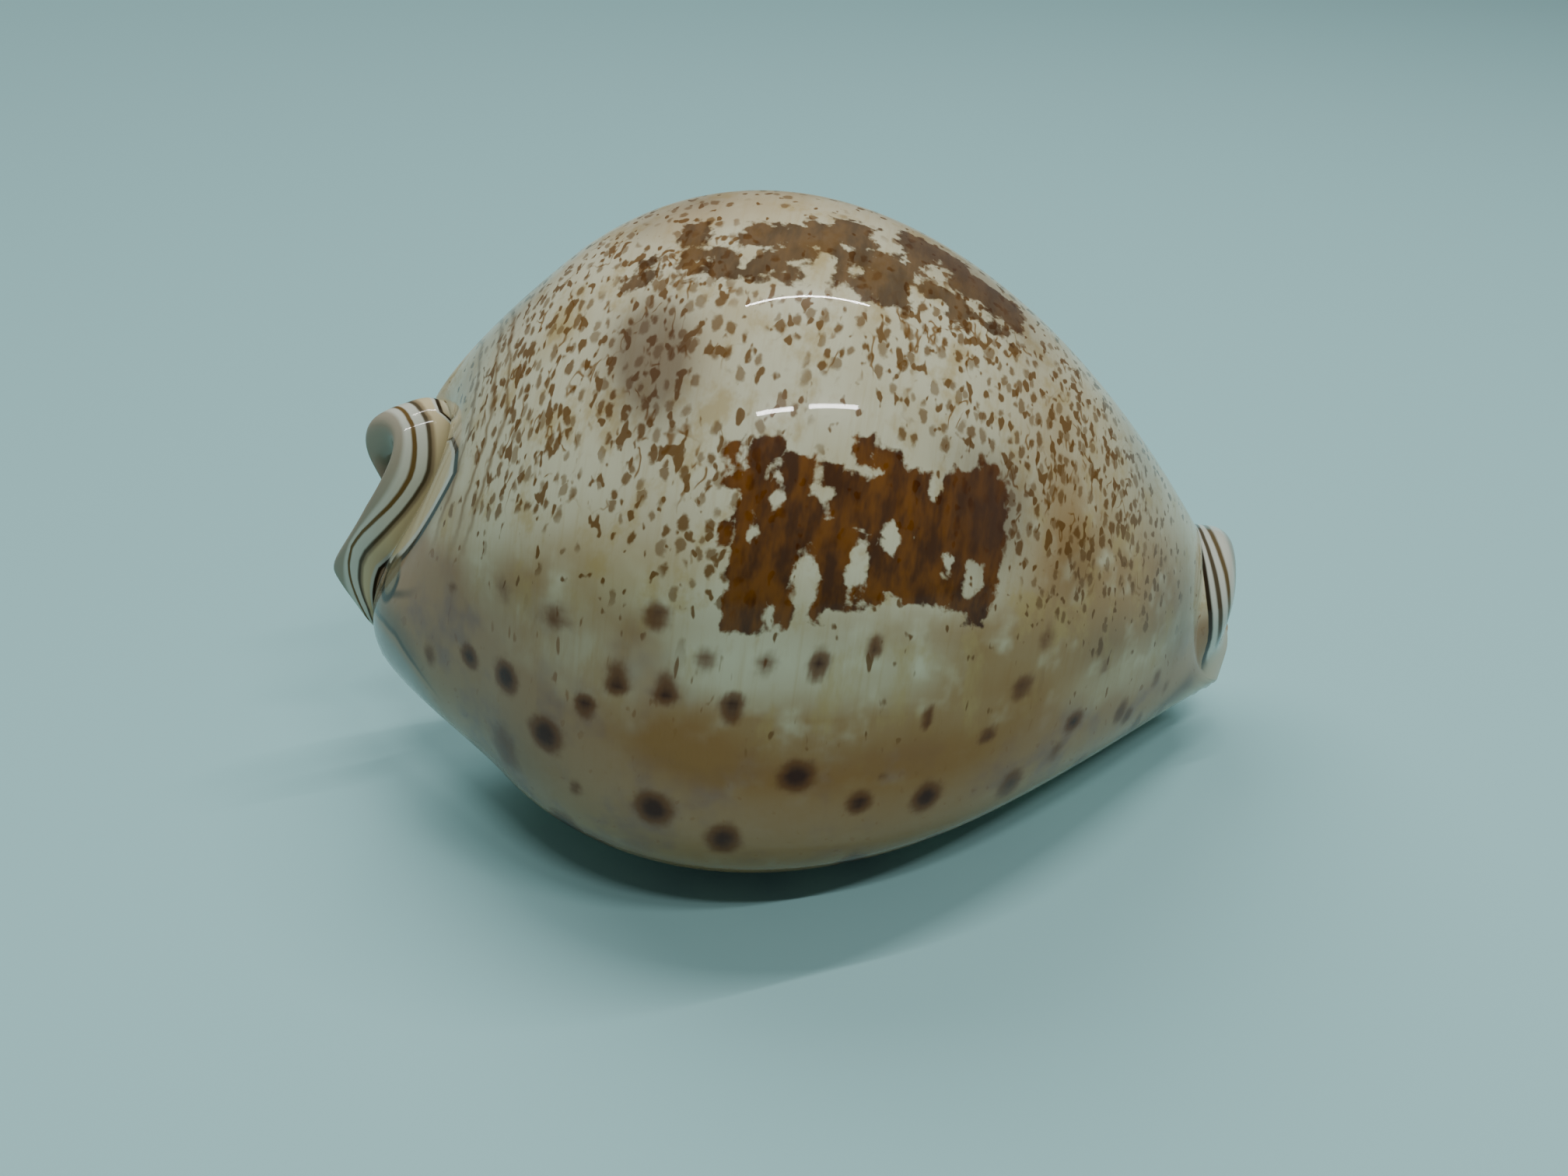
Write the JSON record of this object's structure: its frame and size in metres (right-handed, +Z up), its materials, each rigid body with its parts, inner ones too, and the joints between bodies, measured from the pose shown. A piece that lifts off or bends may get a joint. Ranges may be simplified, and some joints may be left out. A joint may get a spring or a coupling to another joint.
{
  "type": "cowrie shell",
  "caption": "Egg-shaped hollow sea-snail shell with a toothed slot along its base and a drawn-out collar at each end; rests on the flat of its base.",
  "frame": {"origin": "Centre of the bounding box in X and Y, on the plane that the shell rests on.", "axes": "+X towards the front end of the shell, +Y towards the side of the inner (columellar) lip, +Z up. The shell leans as it naturally lies: its back tips a little towards -Y and its rear end is raised."},
  "size_m": [0.0886, 0.0486, 0.0569],
  "materials": {
    "shell": "glossy natural porcelain, cream and chestnut with dark spots on its margin and dark stripes round both ends"
  },
  "bodies": {
    "root": {"shell": "shell"}
  },
  "joints": []
}
